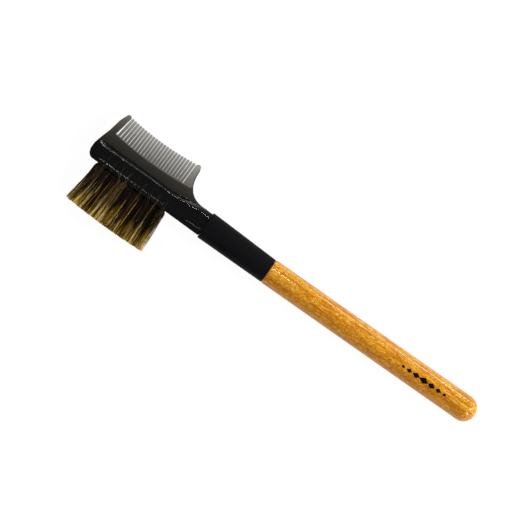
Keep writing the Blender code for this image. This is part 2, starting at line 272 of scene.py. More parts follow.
# Broad lamps: the x of the place on the axis that each one faces, its own place from there,
# its width and height, and its radiance
BROAD_LAMPS = {
    "dome_light": (0.072, (0.76, 0.36, 0.54), (0.16, 0.5), 25),
    "dome_fill": (0.072, (0.76, -0.36, 0.54), (0.16, 0.5), 17),
    "left_fill": (0.0, (-0.55, 0.95, 0.5), (0.5, 0.5), 4.2),
    "right_fill": (0.0, (0.95, 0.6, 0.75), (0.5, 0.5), 0.4),
}


def srgb(red, green, blue):
    """A linear colour from the 0 to 255 values of a screen colour."""
    channels = []
    for value in (red, green, blue):
        share = value / 255
        channels.append(share / 12.92 if share <= 0.04045 else ((share + 0.055) / 1.055) ** 2.4)
    return (*channels, 1.0)


def blend(start, end, share):
    """The value a share of the way from start to end."""
    return start + (end - start) * share


# ---------------------------------------------------------------- places

handle_low, handle_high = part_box("handle")
ferrule_low, ferrule_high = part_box("ferrule")
AXIS_Y = (handle_low.y + handle_high.y) / 2
AXIS_Z = (handle_low.z + handle_high.z) / 2
STICK_PLACE = Matrix.Translation((handle_high.x - HANDLE_LENGTH * MM, AXIS_Y, AXIS_Z))
MOUTH = Vector((ferrule_low.x, AXIS_Y + MOUTH_SHIFT * MM, AXIS_Z))
HEAD_PLACE = Matrix.Translation(MOUTH) @ Matrix.Rotation(-HEAD_LEAN, 4, "Z")


# ---------------------------------------------------------------- mesh helpers


def mesh_object(name, verts, faces, place):
    """An object from points in millimetres, with its faces turned outwards."""
    mesh = bpy.data.meshes.new(name)
    mesh.from_pydata([Vector(v) * MM for v in verts], [], faces)
    work = bmesh.new()
    work.from_mesh(mesh)
    bmesh.ops.recalc_face_normals(work, faces=work.faces)
    work.to_mesh(mesh)
    work.free()
    mesh.transform(place.to_3x3().to_4x4())
    made = bpy.data.objects.new(name, mesh)
    bpy.context.scene.collection.objects.link(made)
    made.location = place.translation
    return made


def smooth(piece, degrees):
    """Smooth shading, except at edges sharper than this angle."""
    piece.data.shade_smooth()
    piece.data.set_sharp_from_angle(angle=math.radians(degrees))


def finish_piece(piece, material, slot, *nodes):
    """Gives a piece its material, and says what it rides on and what it replaces. The slot argument is not
    used.
    """
    piece.data.materials.clear()
    piece.data.materials.append(material)
    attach(piece, "root")
    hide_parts(*nodes)


def loft(rings, tube=False):
    """Points and faces of a skin through rings of equal length, capped or joined end to end."""
    sides = len(rings[0])
    verts = [point for ring in rings for point in ring]
    faces = []
    steps = len(rings) if tube else len(rings) - 1
    for step in range(steps):
        here = step * sides
        there = (step + 1) % len(rings) * sides
        for i in range(sides):
            j = (i + 1) % sides
            faces.append((here + i, here + j, there + j, there + i))
    if not tube:
        faces.append(tuple(range(sides)))
        faces.append(tuple(range(len(verts) - sides, len(verts))))
    return verts, faces


def joined(parts):
    """Several lists of points and faces as one."""
    verts = []
    faces = []
    for part_verts, part_faces in parts:
        start = len(verts)
        verts += part_verts
        faces += [tuple(start + i for i in face) for face in part_faces]
    return verts, faces


def oval(sides, half_width, half_height, squareness=2.0):
    """Points around a superellipse."""
    points = []
    for i in range(sides):
        angle = 2 * math.pi * i / sides
        across = math.cos(angle)
        up = math.sin(angle)
        y = math.copysign(abs(across) ** (2 / squareness), across) * half_width
        z = math.copysign(abs(up) ** (2 / squareness), up) * half_height
        points.append((y, z))
    return points


def ring_along_x(x, points, shift=0.0):
    """A section's points placed at x, moved sideways by a shift."""
    return [(x, y + shift, z) for y, z in points]


def apply_modifiers(piece):
    """Replaces a piece's mesh by what its modifiers make of it."""
    graph = bpy.context.evaluated_depsgraph_get()
    shaped = bpy.data.meshes.new_from_object(piece.evaluated_get(graph), depsgraph=graph)
    piece.modifiers.clear()
    piece.data = shaped


def combine(target, other, operation):
    """Joins another solid to the target, or cuts it away, and removes it."""
    change = target.modifiers.new(operation, "BOOLEAN")
    change.operation = operation
    change.solver = "EXACT"
    change.object = other
    apply_modifiers(target)
    bpy.data.objects.remove(other)


# ---------------------------------------------------------------- node helpers


class Shader:
    """A material's node tree, with short ways to add to it."""

    def __init__(self, name):
        self.material = bpy.data.materials.new(name)
        self.material.use_nodes = True
        self.nodes = self.material.node_tree.nodes
        self.links = self.material.node_tree.links
        self.principled = self.nodes["Principled BSDF"]

    def set(self, **values):
        """Sets the surface's own values, by socket name with underscores for spaces."""
        for name, value in values.items():
            self.principled.inputs[name.replace("_", " ")].default_value = value

    def add(self, kind, inputs=None, **settings):
        """A new node with some inputs fed and some settings made."""
        node = self.nodes.new(kind)
        for name, value in settings.items():
            setattr(node, name, value)
        for name, value in (inputs or {}).items():
            self.feed(node.inputs[name], value)
        return node

    def feed(self, socket, value):
        """Links another node's output to a socket, or sets the socket's value."""
        if isinstance(value, bpy.types.NodeSocket):
            self.links.new(value, socket)
        else:
            socket.default_value = value

    def maths(self, operation, a, b=0.0):
        """The result of an operation on one or two values."""
        node = self.add("ShaderNodeMath", operation=operation)
        self.feed(node.inputs[0], a)
        self.feed(node.inputs[1], b)
        return node.outputs[0]

    def ramp(self, factor, *stops):
        """A colour ramp from (position, colour) stops."""
        node = self.add("ShaderNodeValToRGB", {"Fac": factor})
        elements = node.color_ramp.elements
        while len(elements) < len(stops):
            elements.new(0.5)
        for element, (position, colour) in zip(elements, stops):
            element.position = position
            element.color = colour
        return node.outputs["Color"]

    def share(self, value, low, high):
        """0 at low and 1 at high, clamped."""
        node = self.add("ShaderNodeMapRange", {"Value": value, "From Min": low, "From Max": high})
        node.interpolation_type = "SMOOTHSTEP"
        return node.outputs["Result"]

    def mix(self, factor, a, b, mode="MIX"):
        """Colour a changed towards colour b. The node's colour sockets are 6, 7 and output 2."""
        node = self.add("ShaderNodeMix", data_type="RGBA", blend_type=mode, clamp_factor=True)
        self.feed(node.inputs["Factor"], factor)
        self.feed(node.inputs[6], a)
        self.feed(node.inputs[7], b)
        return node.outputs[2]

    def millimetres(self, scale=(1, 1, 1), turn=(0, 0, 0)):
        """The piece's own coordinates in millimetres, scaled again by what is given."""
        place = self.add("ShaderNodeTexCoord")
        node = self.add("ShaderNodeMapping", {"Vector": place.outputs["Object"]})
        node.inputs["Scale"].default_value = [s / MM for s in scale]
        node.inputs["Rotation"].default_value = turn
        return node.outputs["Vector"]

    def noise(self, vector, scale, detail=2.0, roughness=0.5, distortion=0.0):
        """Cloudy values round a half."""
        node = self.add("ShaderNodeTexNoise", {"Vector": vector, "Scale": scale, "Detail": detail})
        node.inputs["Roughness"].default_value = roughness
        node.inputs["Distortion"].default_value = distortion
        return node.outputs["Fac"]

    def bump(self, height, depth_mm, strength):
        """Raises the surface's shading by a height value, to a depth in millimetres."""
        node = self.add("ShaderNodeBump", {"Height": height, "Strength": strength})
        node.inputs["Distance"].default_value = depth_mm * MM
        self.links.new(node.outputs["Normal"], self.principled.inputs["Normal"])

    def colour(self, value):
        """Sets or links the surface's colour."""
        self.feed(self.principled.inputs["Base Color"], value)

    def roughness(self, value):
        """Sets or links the surface's roughness."""
        self.feed(self.principled.inputs["Roughness"], value)


# ---------------------------------------------------------------- materials


def lozenge(shader, x, arc, centre, half_length, half_height):
    """1 inside a lozenge on the handle's surface, 0 outside."""
    along = shader.maths("ABSOLUTE", shader.maths("SUBTRACT", x, centre[0]))
    across = shader.maths("ABSOLUTE", shader.maths("SUBTRACT", arc, centre[1]))
    along = shader.maths("DIVIDE", along, half_length)
    across = shader.maths("DIVIDE", across, half_height)
    return shader.maths("LESS_THAN", shader.maths("ADD", along, across), 1.0)


def printed_mark(shader):
    """A plain row of lozenges, larger in the middle, printed near the handle's end."""
    parts = shader.add("ShaderNodeSeparateXYZ", {"Vector": shader.millimetres()})
    arc = shader.maths("ARCTAN2", parts.outputs["Y"], parts.outputs["Z"])
    arc = shader.maths("MULTIPLY", arc, HANDLE_RADIUS)
    mark = None
    middle_x, middle_arc = MARK_CENTRE
    for step in range(-MARKS_PER_SIDE, MARKS_PER_SIDE + 1):
        half_length = MARK_HALF_LENGTH - MARK_SHRINK * abs(step)
        centre = (middle_x + MARK_PITCH * step - MARK_CLOSING * step * abs(step), middle_arc)
        one = lozenge(shader, parts.outputs["X"], arc, centre, half_length, half_length * MARK_FLATNESS)
        mark = one if mark is None else shader.maths("MAXIMUM", mark, one)
    return mark


def varnished_wood():
    """Honey-coloured wood under clear varnish: bright flecks, long grain and a rippled figure, with
    painted shade darkening the bristle side.
    """
    shader = Shader("varnished_wood")
    flecks = shader.noise(shader.millimetres((1.1, 2.4, 2.4), (0, 0, 0.35)), 1.0, 3.0, 0.7, 0.5)
    grain = shader.noise(shader.millimetres((0.1, 1.3, 1.3), (0, 0, 0.03)), 1.0, 4.0, 0.6, 0.5)
    figure = shader.noise(shader.millimetres((0.17, 0.3, 0.3)), 1.0, 1.0, 0.4, 0.3)
    tone = shader.ramp(
        shader.share(flecks, 0.32, 0.68),
        (0.0, srgb(196, 114, 8)),
        (0.45, srgb(240, 162, 30)),
        (1.0, srgb(255, 210, 96)),
    )
    long_lines = shader.share(grain, 0.56, 0.4)
    tone = shader.mix(shader.maths("MULTIPLY", long_lines, 0.65), tone, srgb(184, 100, 6))
    parts = shader.add("ShaderNodeSeparateXYZ", {"Vector": shader.millimetres()})
    # 1 on the bristle side and 0 towards the comb: it places the lower figure and the painted shade
    low_side = shader.share(parts.outputs["Y"], 0.8, -1.6)
    contour = shader.maths("PINGPONG", shader.maths("MULTIPLY", figure, 9.0), 0.5)
    swirl = shader.maths("MULTIPLY", shader.share(contour, 0.2, 0.03), low_side)
    tone = shader.mix(shader.maths("MULTIPLY", swirl, 0.55), tone, srgb(170, 92, 6))
    pale = shader.maths("MULTIPLY", shader.share(contour, 0.3, 0.48), low_side)
    tone = shader.mix(shader.maths("MULTIPLY", pale, 0.25), tone, srgb(244, 176, 56))
    # Painted shade: the wood is darkened towards the bristle side, where less light falls
    tone = shader.mix(shader.maths("MULTIPLY", low_side, 0.32), tone, srgb(168, 94, 4))
    ink = printed_mark(shader)
    shader.colour(shader.mix(ink, tone, srgb(12, 12, 14)))
    shader.roughness(0.6)
    shader.set(Coat_Weight=0.75, Coat_Roughness=0.04, Coat_IOR=1.5, Specular_IOR_Level=0.0)
    shader.bump(flecks, 0.002, 0.4)
    return shader.material


def black_metal():
    """Matt black paint with a fine grain and faint rubbing round the sleeve."""
    shader = Shader("black_metal")
    grain = shader.noise(shader.millimetres(), 7.0, 3.0, 0.6)
    cloud = shader.noise(shader.millimetres((0.15, 0.5, 0.5)), 1.0, 3.0)
    shader.colour(shader.ramp(cloud, (0.3, srgb(10, 9, 10)), (0.7, srgb(15, 15, 19))))
    shader.roughness(shader.share(cloud, -1.2, 1.6))
    shader.set(Specular_IOR_Level=0.08)
    shader.bump(grain, 0.012, 0.6)
    return shader.material


def smoky_plastic():
    """Polished see-through moulding whose grey deepens with its thickness."""
    shader = Shader("smoky_plastic")
    flow = shader.noise(shader.millimetres((0.12, 0.3, 0.3)), 1.0, 2.0)
    scuffs = shader.noise(shader.millimetres((0.6, 2.5, 2.5)), 1.0, 4.0, 0.7)
    shader.colour((1.0, 1.0, 1.0, 1.0))
    shader.roughness(shader.share(scuffs, -0.2, 8.0))
    shader.set(Transmission_Weight=0.996, IOR=1.5)
    shader.bump(flow, 0.01, 0.2)
    absorb = shader.add("ShaderNodeVolumeAbsorption")
    absorb.inputs["Color"].default_value = (0.10, 0.07, 0.02, 1.0)
    absorb.inputs["Density"].default_value = 1.8 / MM
    output = shader.nodes["Material Output"]
    shader.links.new(absorb.outputs["Volume"], output.inputs["Volume"])
    return shader.material


def bristle():
    """Stiff hair, brown-black at the root and straw at the trimmed end, by the hair's own values."""
    shader = Shader("bristle")
    gold = shader.add("ShaderNodeAttribute", attribute_name="gold").outputs["Fac"]
    shade = shader.add("ShaderNodeAttribute", attribute_name="shade").outputs["Fac"]
    streaks = shader.noise(shader.millimetres((6.0, 0.5, 6.0)), 1.0, 2.0)
    root = shader.ramp(
        shade,
        (0.0, srgb(12, 8, 5)),
        (0.6, srgb(34, 25, 16)),
        (0.9, srgb(66, 50, 31)),
        (1.0, srgb(112, 88, 54)),
    )
    tip = shader.ramp(
        shade,
        (0.0, srgb(48, 30, 8)),
        (0.2, srgb(140, 98, 16)),
        (0.5, srgb(212, 160, 42)),
        (0.8, srgb(240, 204, 98)),
        (1.0, srgb(252, 234, 160)),
    )
    tone = shader.mix(gold, root, tip)
    darkening = shader.ramp(streaks, (0.3, (0.35, 0.35, 0.35, 1)), (0.7, (1, 1, 1, 1)))
    shader.colour(shader.mix(0.35, tone, darkening, "MULTIPLY"))
    shader.roughness(0.42)
    shader.set(Specular_IOR_Level=0.15)
    return shader.material


def steel():
    """Bright flat wire with fine drawn lines."""
    shader = Shader("steel")
    lines = shader.noise(shader.millimetres((0.5, 0.5, 12.0)), 1.0, 3.0)
    shader.colour(shader.ramp(lines, (0.3, srgb(176, 176, 180)), (0.7, srgb(208, 208, 212))))
    shader.roughness(shader.share(lines, -0.6, 2.6))
    shader.set(Metallic=1.0)
    shader.bump(lines, 0.004, 0.5)
    return shader.material


def glue():
    """Set amber glue with a slightly uneven surface."""
    shader = Shader("glue")
    lumps = shader.noise(shader.millimetres(), 0.9, 3.0)
    shader.colour(shader.ramp(lumps, (0.3, srgb(196, 172, 118)), (0.7, srgb(224, 206, 160))))
    shader.roughness(shader.share(lumps, -0.5, 2.2))
    shader.bump(lumps, 0.1, 0.6)
    return shader.material


# ---------------------------------------------------------------- stick


def handle_wood(material):
    """The turned stick with its tenon, rounded shoulder and domed end."""
    dome_start = HANDLE_LENGTH - DOME_LENGTH
    profile = [(-TENON_LENGTH, TENON_RADIUS * TENON_END_SHARE)]
    profile += [(-TENON_LENGTH + TENON_TAPER_LENGTH, TENON_RADIUS)]
    profile += [(0.0, TENON_RADIUS), (0.0, HANDLE_RADIUS - SHOULDER_ROUNDING)]
    for step in range(1, SHOULDER_STEPS + 1):
        angle = math.pi / 2 * step / SHOULDER_STEPS
        x = SHOULDER_ROUNDING * (1 - math.cos(angle))
        profile.append((x, HANDLE_RADIUS - SHOULDER_ROUNDING * (1 - math.sin(angle))))
    profile += [(SHOULDER_ROUNDING + SUPPORT_GAP, HANDLE_RADIUS)]
    profile += [(dome_start - SUPPORT_GAP, HANDLE_RADIUS)]
    for step in range(DOME_STEPS):
        angle = math.pi / 2 * step / DOME_STEPS
        x = dome_start + DOME_LENGTH * math.sin(angle)
        profile.append((x, HANDLE_RADIUS * math.cos(angle)))
    profile.append((HANDLE_LENGTH, HANDLE_RADIUS * DOME_END_SHARE))
    rings = [ring_along_x(x, oval(HANDLE_SIDES, radius, radius)) for x, radius in profile]
    piece = mesh_object("handle_stick", *loft(rings), STICK_PLACE)
    smooth(piece, degrees=40)
    finish_piece(piece, material, "varnished_wood", "handle")


def ferrule_ring(x, inset):
    """The ferrule's section at x, drawn in from its outer surface."""
    share = -x / FERRULE_LENGTH
    points = oval(
        FERRULE_SIDES,
        blend(FERRULE_RADIUS, MOUTH_HALF_WIDTH, share) - inset,
        blend(FERRULE_RADIUS, MOUTH_HALF_THICKNESS, share) - inset,
        blend(2.0, MOUTH_SQUARENESS, share),
    )
    return ring_along_x(x, points, MOUTH_SHIFT * share)


def ferrule_sleeve(material):
    """The painted sleeve with rolled edges, closed up to the handle's shoulder."""
    near = -JOINT_GAP
    far = -FERRULE_LENGTH
    rings = []
    for step in range(EASING_STEPS + 1):
        angle = math.pi / 2 * step / EASING_STEPS
        x = near - FERRULE_EASING * (1 - math.cos(angle))
        rings.append(ferrule_ring(x, FERRULE_EASING * (1 - math.sin(angle))))
    rings.append(ferrule_ring(near - FERRULE_EASING - EASING_SUPPORT, 0.0))
    for step in range(1, FERRULE_STEPS):
        rings.append(ferrule_ring(blend(near, far, step / FERRULE_STEPS), 0.0))
    rings.append(ferrule_ring(far + FERRULE_EASING + EASING_SUPPORT, 0.0))
    for step in range(EASING_STEPS + 1):
        angle = math.pi / 2 * step / EASING_STEPS
        x = far + FERRULE_EASING * (1 - math.sin(angle))
        rings.append(ferrule_ring(x, FERRULE_EASING * (1 - math.cos(angle))))
    rings.append(ferrule_ring(far, FERRULE_WALL))
    rings.append(ferrule_ring(near, FERRULE_WALL))
    piece = mesh_object("ferrule_sleeve", *loft(rings, tube=True), STICK_PLACE)
    smooth(piece, degrees=40)
    finish_piece(piece, material, "black_metal", "ferrule")


# ---------------------------------------------------------------- head


def corner(centre, half_u, half_v):
    """A quarter of an ellipse, from the bristle side round to the head's end."""
    points = []
    for step in range(CORNER_STEPS + 1):
        angle = math.pi / 2 * step / CORNER_STEPS
        points.append((centre[0] + half_u * math.sin(angle), centre[1] - half_v * math.cos(angle)))
    return points


def bar_stations():
    """Places round the bar: its outer edge, its flat faces' edge and the outer edge's half height."""
    stations = [
        ((JOINT_GAP, BRISTLE_FACE), (JOINT_GAP, -2.2), BRISTLE_FACE_HALF),
        ((10.0, BRISTLE_FACE), (10.0, -2.85), BRISTLE_FACE_HALF),
    ]
    edge = corner(END_CORNER, HEAD_LENGTH - END_CORNER[0], END_CORNER[1] - BRISTLE_FACE)
    flat = corner(FLAT_CORNER, *FLAT_CORNER_HALF)
    for step in range(CORNER_STEPS + 1):
        half = blend(BRISTLE_FACE_HALF, TIP_EDGE_HALF, step / CORNER_STEPS)
        stations.append((edge[step], flat[step], half))
    return stations + [
        ((HEAD_LENGTH, 0.55), (41.3, 0.5), TIP_EDGE_HALF),
        ((43.85, WEB_EDGE), (41.0, 1.2), WEB_EDGE_HALF),
        ((40.5, WEB_EDGE), (40.5, 1.25), WEB_EDGE_HALF),
        ((18.0, WEB_EDGE), (18.0, 1.6), WEB_EDGE_HALF),
        ((14.0, WEB_EDGE), (14.0, 1.7), WEB_EDGE_HALF),
        ((8.0, 3.5), (8.0, 2.3), NECK_MIDDLE_HALF),
        ((4.0, NECK_EDGE), (4.0, 2.7), NECK_EDGE_HALF),
        ((JOINT_GAP, NECK_EDGE), (JOINT_GAP, 2.65), NECK_EDGE_HALF),
    ]


def rounded_corner(before, corner_point, after, reach):
    """Points round a corner: a short curve that starts and ends at a distance from it."""
    start = corner_point + (before - corner_point).normalized() * reach
    end = corner_point + (after - corner_point).normalized() * reach
    points = []
    for step in range(ROUNDING_STEPS + 1):
        share = step / ROUNDING_STEPS
        points.append(start.lerp(corner_point, share).lerp(corner_point.lerp(end, share), share))
    return points


def bar_section(edge_place, flat_place, half):
    """The upper half of the bar's skin at one place of its outline, from its flat face outwards."""
    edge_u, edge_v = edge_place
    flat_u, flat_v = flat_place
    flat = Vector((-flat_u, flat_v, BAR_HALF_THICKNESS))
    edge = Vector((-edge_u, edge_v, half))
    outwards = Vector((edge.x - flat.x, edge.y - flat.y, 0)).normalized()
    middle = flat.lerp(edge, 0.5) + outwards * EDGE_BULGE
    rounding = NECK_ROUNDING if flat_u < NECK_LINE_END else SPINE_ROUNDING
    if flat_v < 0:
        rounding = BRISTLE_SIDE_ROUNDING
    points = rounded_corner(flat - outwards, flat, middle, rounding)
    points.append(middle)
    return points + rounded_corner(middle, edge, edge - Vector((0, 0, half)), EDGE_ROUNDING)


def bar():
    """The spine and neck, with every edge rounded."""
    sections = [bar_section(*station) for station in bar_stations()]
    upper = [list(ring) for ring in zip(*sections)]
    lower = [[Vector((point.x, point.y, -point.z)) for point in ring] for ring in reversed(upper)]
    return mesh_object("bar", *loft(upper + lower), HEAD_PLACE)


def tang():
    """The oval peg that the ferrule holds, with a lead-in at its end."""
    rings = []
    taper_start = TANG_LENGTH - TANG_TAPER_LENGTH
    for x, share in ((-TANG_OVERLAP, 1.0), (taper_start, 1.0), (TANG_LENGTH, TANG_END_SHARE)):
        points = oval(TANG_SIDES, TANG_HALF_WIDTH * share, TANG_HALF_THICKNESS * share, MOUTH_SQUARENESS)
        rings.append(ring_along_x(x, points))
    return mesh_object("tang", *loft(rings), HEAD_PLACE)


def tip_line(u):
    """The shallow curve that the teeth end on."""
    return TIP_LINE + TIP_LINE_BOW * (u - TIP_LINE_MIDDLE) ** 2


def root_line(u):
    """The shallow curve that the teeth start from."""
    return ROOT_LINE + ROOT_LINE_BOW * (u - ROOT_LINE_MIDDLE) ** 2


def round_tip(centre, radius, steps):
    """A half circle over a tooth's end, from its far side to its near side."""
    points = []
    for step in range(steps + 1):
        angle = math.pi * step / steps
        points.append((centre[0] + radius * math.cos(angle), centre[1] + radius * math.sin(angle)))
    return points


def tooth(number, rise):
    """One tooth's outline, root to root. The outermost ones lean a little, so they spread at the root."""
    u = FIRST_TOOTH - number * TOOTH_PITCH
    half = TOOTH_WIDTH / 2
    outward = max(0.0, (u - TIP_LINE_MIDDLE) / (FIRST_TOOTH - TIP_LINE_MIDDLE))
    root = u + TOOTH_SPREAD * outward**2
    root_half = half + ROOT_WIDENING
    far = (root + root_half, root_line(root + half) + rise)
    near = (root - root_half, root_line(root - half) + rise)
    return [far, *round_tip((u, tip_line(u) - half), half, TOOTH_TIP_STEPS), near]


def fillet_point(angle, offset):
    """A point of the sweep from the near guard's outer side to the neck, moved in by an offset."""
    centre_u, centre_v = FILLET_CENTRE
    half_u, half_v = FILLET_HALF
    u = centre_u + (half_u + offset) * math.cos(angle) ** (2 / FILLET_SQUARENESS)
    v = centre_v - (half_v - offset) * math.sin(angle) ** (2 / FILLET_SQUARENESS)
    return u, v


def neck_fillet():
    """The whole sweep, as a quarter of a superellipse."""
    return [fillet_point(math.pi / 2 * step / FILLET_STEPS, 0.0) for step in range(1, FILLET_STEPS + 1)]


def comb_outline(rise):
    """The plate's outline, with the ends of the slots between the teeth raised."""
    outline = [
        *FAR_GUARD_SIDE,
        *round_tip(FAR_GUARD_TIP, FAR_GUARD_TIP_RADIUS, FAR_GUARD_TIP_STEPS),
        (FAR_GUARD_EDGE, root_line(FAR_GUARD_EDGE) + rise),
    ]
    for number in range(TOOTH_COUNT):
        outline += tooth(number, rise)
    outline += [(NEAR_GUARD_EDGE, root_line(NEAR_GUARD_EDGE) + rise), *NEAR_GUARD_TIP]
    return outline + neck_fillet() + [PLATE_NEAR_FOOT]


def taper(v, foot_half, tip_half):
    """Half the thickness at v of something that thins from the plate's foot to its tip."""
    return blend(foot_half, tip_half, (v - PLATE_FOOT) / (PLATE_TIP - PLATE_FOOT))


def pocket_outline():
    """The pockets' outline: along the teeth's roots, then up inside the near guard's rim."""
    outline = []
    for step in range(POCKET_STEPS + 1):
        u = blend(POCKET_FAR_FOOT, POCKET_NEAR_FOOT, step / POCKET_STEPS)
        outline.append((u, root_line(u)))
    for step in range(POCKET_RIM_STEPS, 0, -1):
        outline.append(fillet_point(POCKET_RIM_ANGLE * step / POCKET_RIM_STEPS, POCKET_RIM))
    beyond = PLATE_TIP + POCKET_OVERSHOOT
    return outline + [(POCKET_NEAR_TIP, beyond), (POCKET_FAR_TIP, beyond)]


def pockets():
    """What is cut away above and below the teeth and the near guard, down to a sloping floor."""
    parts = []
    for side in (1, -1):
        ground = [(-u, v, side * taper(v, POCKET_FOOT_HALF, POCKET_TIP_HALF)) for u, v in pocket_outline()]
        mouth = [(x, y, side * POCKET_MOUTH) for x, y, _ in ground]
        parts.append(loft([ground, mouth]))
    return mesh_object("pockets", *joined(parts), HEAD_PLACE)


def comb():
    """The plate with the teeth and the two broad guard teeth, its upper and lower rims rounded."""
    upper = [(-u, v, taper(v, PLATE_FOOT_HALF, PLATE_TIP_HALF)) for u, v in comb_outline(0.0)]
    parting = [(-u, v, 0.0) for u, v in comb_outline(SLOT_END_RISE)]
    lower = [(x, y, -z) for x, y, z in upper]
    piece = mesh_object("comb", *loft([upper, parting, lower]), HEAD_PLACE)
    combine(piece, pockets(), "DIFFERENCE")
    bevel = piece.modifiers.new("rims", "BEVEL")
    bevel.width = RIM_ROUNDING * MM
    bevel.segments = RIM_SEGMENTS
    bevel.limit_method = "ANGLE"
    bevel.angle_limit = RIM_ANGLE
    apply_modifiers(piece)
    return piece


def tuft_places():
    """Each tuft's name, its distance along the spine and its row's side: +1 in front, -1 behind."""
    places = []
    for number in range(TUFTS_PER_ROW):
        u = FRONT_FIRST + number * TUFT_PITCH
        places.append((f"front_{number + 1}", u, 1))
        places.append((f"back_{number + 1}", u + TUFT_PITCH / 2, -1))
    return places


def hole_cylinders():
    """What the drill takes out for the tufts."""
    ring = oval(HOLE_SIDES, HOLE_RADIUS, HOLE_RADIUS)
    ends = [BRISTLE_FACE - HOLE_OVERSHOOT, BRISTLE_FACE + HOLE_DEPTH]
    parts = []
    for _, u, side in tuft_places():
        parts.append(loft([[(x - u, y, z + side * ROW_HEIGHT) for x, z in ring] for y in ends]))
    return mesh_object("holes", *joined(parts), HEAD_PLACE)


def staple_corners():
    """The corners of a staple's slot round the middle of its hole, turned with the staple."""
    half_width = STAPLE_WIDTH / 2 + CLEARANCE
    half_thickness = STAPLE_THICKNESS / 2 + CLEARANCE
    corners = []
    for along, across in ((1, 1), (-1, 1), (-1, -1), (1, -1)):
        a = along * half_width
        b = across * half_thickness
        x = a * math.cos(STAPLE_TURN) - b * math.sin(STAPLE_TURN)
        z = a * math.sin(STAPLE_TURN) + b * math.cos(STAPLE_TURN)
        corners.append((x, z))
    return corners


def staple_slots():
    """The room around each staple at the bottom of its hole."""
    bottom = BRISTLE_FACE + HOLE_DEPTH
    low = bottom - STAPLE_ABOVE_BOTTOM + CLEARANCE
    high = bottom - STAPLE_ABOVE_BOTTOM - STAPLE_HEIGHT - CLEARANCE
    parts = []
    for _, u, side in tuft_places():
        rings = [[(x - u, y, z + side * ROW_HEIGHT) for x, z in staple_corners()] for y in (low, high)]
        parts.append(loft(rings))
    return mesh_object("slots", *joined(parts), HEAD_PLACE)


def head_moulding(material):
    """The whole moulding in one skin, drilled for the tufts."""
    piece = bar()
    piece.name = "head_moulding"
    combine(piece, tang(), "UNION")
    combine(piece, comb(), "UNION")
    combine(piece, hole_cylinders(), "DIFFERENCE")
    combine(piece, staple_slots(), "DIFFERENCE")
    smooth(piece, degrees=35)
    weighted = piece.modifiers.new("even_shading", "WEIGHTED_NORMAL")
    weighted.keep_sharp = True
    finish_piece(piece, material, "smoky_plastic", "head_frame")


# ---------------------------------------------------------------- bristles


def random_disc(generator, count, low, high):
    """Random points in a disc of radius 1, from one share of its area to another."""
    angle = generator.uniform(0, 2 * math.pi, count)
    reach = np.sqrt(generator.uniform(low, high, count))
    return np.stack([np.cos(angle) * reach, np.sin(angle) * reach], 1)


def gather(generator, roots):
    """Where each hair ends in the tuft's tip, its clump's number and how far it is from the clump."""
    clumps = random_disc(generator, CLUMPS_PER_TUFT, *CLUMP_RING)
    distance = np.sqrt(((roots[:, None, :] - clumps[None]) ** 2).sum(2))
    nearest = np.argmin(distance, 1)
    pull = generator.uniform(*CLUMP_PULL, len(roots))[:, None]
    tips = roots + (clumps[nearest] - roots) * pull + generator.normal(0, TIP_SCATTER, roots.shape)
    return tips, nearest, distance.min(1)


def hair_paths(generator, roots, tips, u, side):
    """The hairs' middle lines from fold to tip, and each point's share of the way out of the hole."""
    count = len(roots)
    tip_u = TUFT_TIP_MIDDLE + (u - TUFT_MIDDLE) * TUFT_FLARE
    length = TUFT_LENGTH - TUFT_TIP_BOW * (tip_u - TUFT_TIP_MIDDLE) ** 2
    lengths = length - np.abs(generator.normal(0, LENGTH_SCATTER, count))
    bow = generator.normal(0, BOW_SCATTER, (count, 2))
    wave = generator.normal(0, WAVE_SCATTER, (count, 2))
    wave_start = generator.uniform(0, 2 * math.pi, count)
    paths = np.zeros((count, HAIR_PLACES, 3))
    along = np.zeros((count, HAIR_PLACES))
    for i, (v, spread) in enumerate(PLACES_INSIDE):
        paths[:, i, 0] = -u + roots[:, 0] * spread
        paths[:, i, 1] = v
        paths[:, i, 2] = side * ROW_HEIGHT + roots[:, 1] * spread
    for i, share in enumerate(PLACES_OUTSIDE, len(PLACES_INSIDE)):
        flare = share**FLARE_POWER
        bloom = 1 - (1 - min(share / BLOOM_SHARE, 1.0)) ** 2
        half_width = blend(MOUTH_SPREAD, BLOOM_SPREAD[0], bloom) + TIP_SPREAD[0] * flare
        half_depth = blend(MOUTH_SPREAD, BLOOM_SPREAD[1], bloom) + TIP_SPREAD[1] * flare
        place = roots + (tips - roots) * share**GATHER_POWER
        ripple = np.sin(wave_start + WAVE_ANGLE * share)[:, None] * wave * bloom
        arc = np.sin(math.pi * share) * bow + ripple
        height = side * blend(ROW_HEIGHT, TUFT_TIP_HEIGHT, flare)
        paths[:, i, 0] = -blend(u, tip_u, flare) + place[:, 0] * half_width + arc[:, 0]
        paths[:, i, 1] = BRISTLE_FACE - lengths * share
        paths[:, i, 2] = height + place[:, 1] * half_depth + arc[:, 1]
        along[:, i] = share
    return paths, along


def hair_points(generator, paths, along):
    """Rings of points round every hair's path, thinner towards the tip."""
    radius = generator.uniform(*HAIR_RADIUS, len(paths))[:, None] * (1 - HAIR_TAPER * along**2)
    turn = 2 * math.pi * np.arange(HAIR_SIDES) / HAIR_SIDES
    circle = np.stack([np.cos(turn), np.zeros(HAIR_SIDES), np.sin(turn)], 1)
    points = paths[:, :, None, :] + radius[:, :, None, None] * circle[None, None]
    return points.reshape(-1, 3).tolist()


def hair_faces(count):
    """The skin of every hair, closed at both ends."""
    faces = []
    for hair in range(count):
        base = hair * HAIR_PLACES * HAIR_SIDES
        last = base + (HAIR_PLACES - 1) * HAIR_SIDES
        for here in range(base, last, HAIR_SIDES):
            for i in range(HAIR_SIDES):
                j = (i + 1) % HAIR_SIDES
                faces.append((here + i, here + j, here + HAIR_SIDES + j, here + HAIR_SIDES + i))
        faces.append(tuple(base + i for i in range(HAIR_SIDES)))
        faces.append(tuple(last + i for i in reversed(range(HAIR_SIDES))))
    return faces


